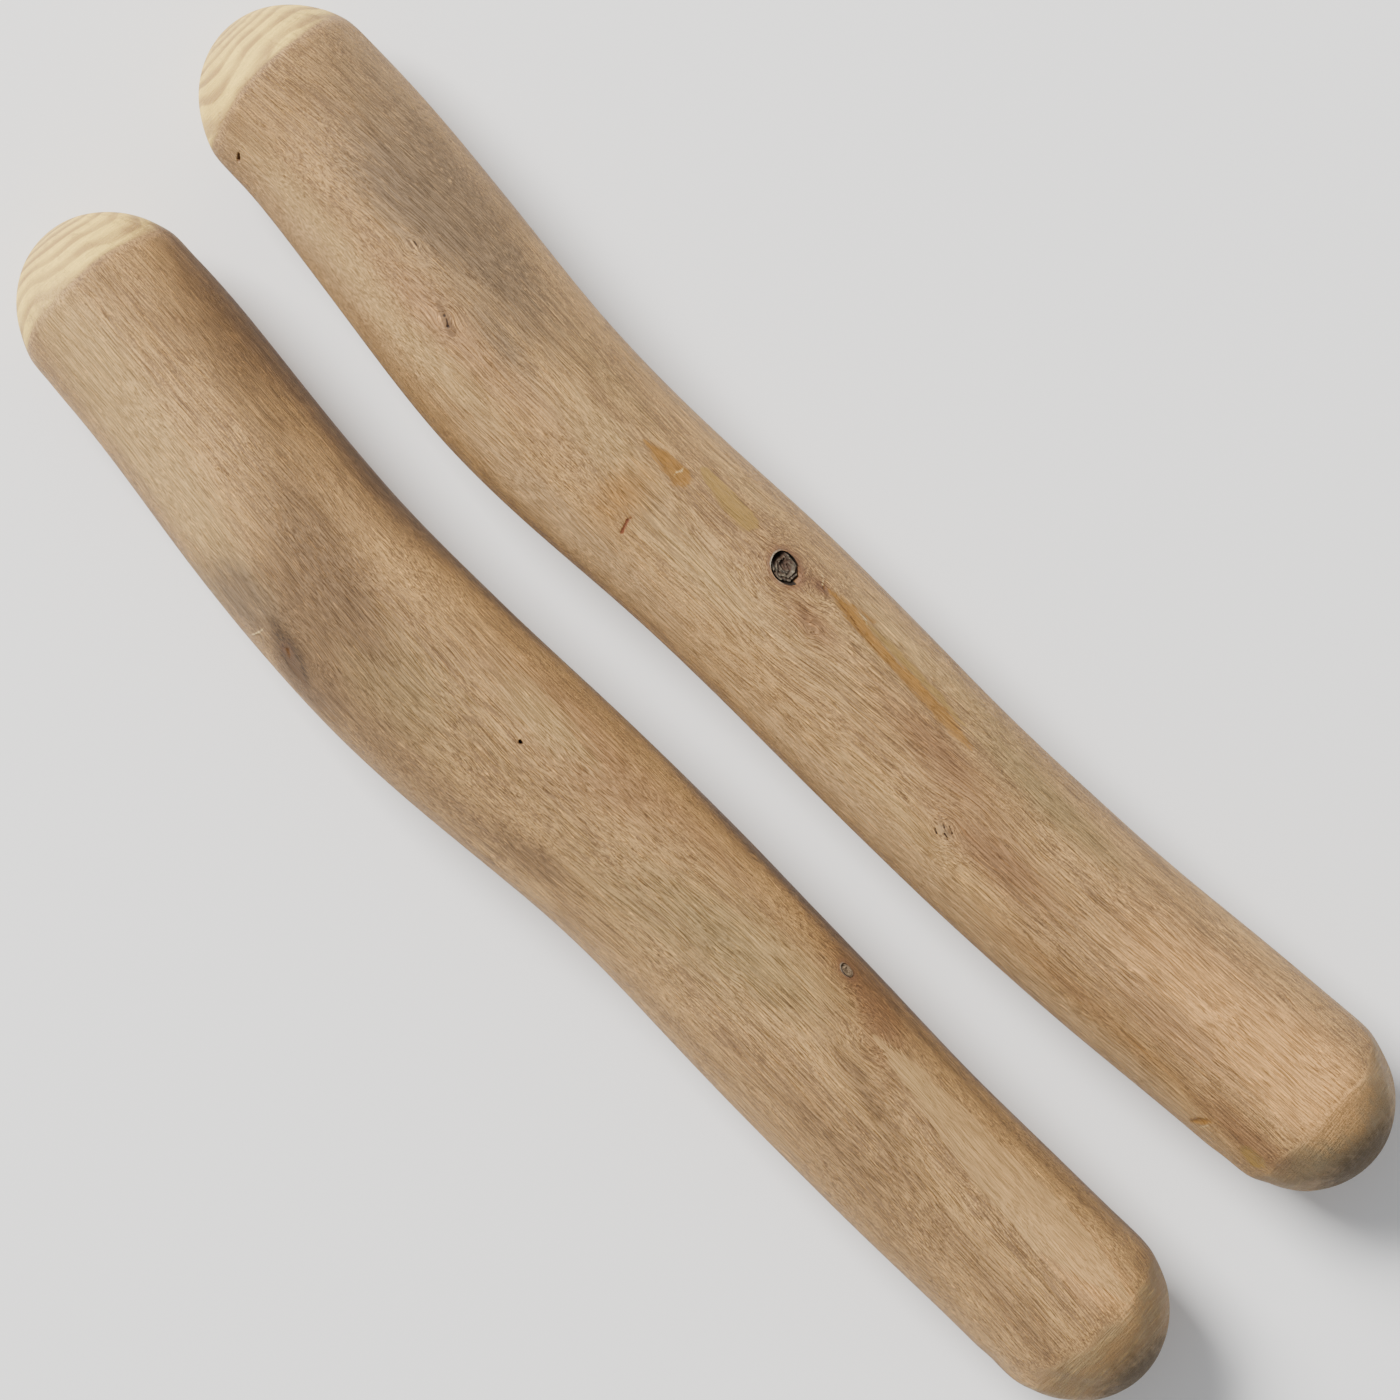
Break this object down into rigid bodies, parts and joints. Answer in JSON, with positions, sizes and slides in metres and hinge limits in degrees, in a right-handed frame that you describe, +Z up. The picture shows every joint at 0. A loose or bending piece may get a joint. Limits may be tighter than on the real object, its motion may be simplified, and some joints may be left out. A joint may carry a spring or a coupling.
{
  "type": "claves",
  "caption": "Hand-shaped claves: slightly bent round wooden sticks with sanded domed ends, one struck across the other for a sharp click.",
  "frame": {"origin": "middle of the footprint of the sticks as they lie side by side, on the surface that they lie on", "axes": "+X along the sticks, +Y across from the striker to the held clave, +Z up"},
  "size_m": [0.25, 0.0816, 0.0305],
  "materials": {
    "pale_wood": "sanded, unvarnished",
    "knot_wood": "dry, weathered end grain"
  },
  "bodies": {
    "held_clave": {"held_clave": "pale_wood", "dead_knot": "knot_wood"},
    "striker_clave": {"striker_clave": "pale_wood", "pin_knot": "knot_wood"}
  },
  "joints": [
    {"name": "strike", "type": "slide", "parent": "held_clave", "child": "striker_clave", "axis": [0, 1, 0], "range_m": [-0.12, 0.0104]}
  ]
}
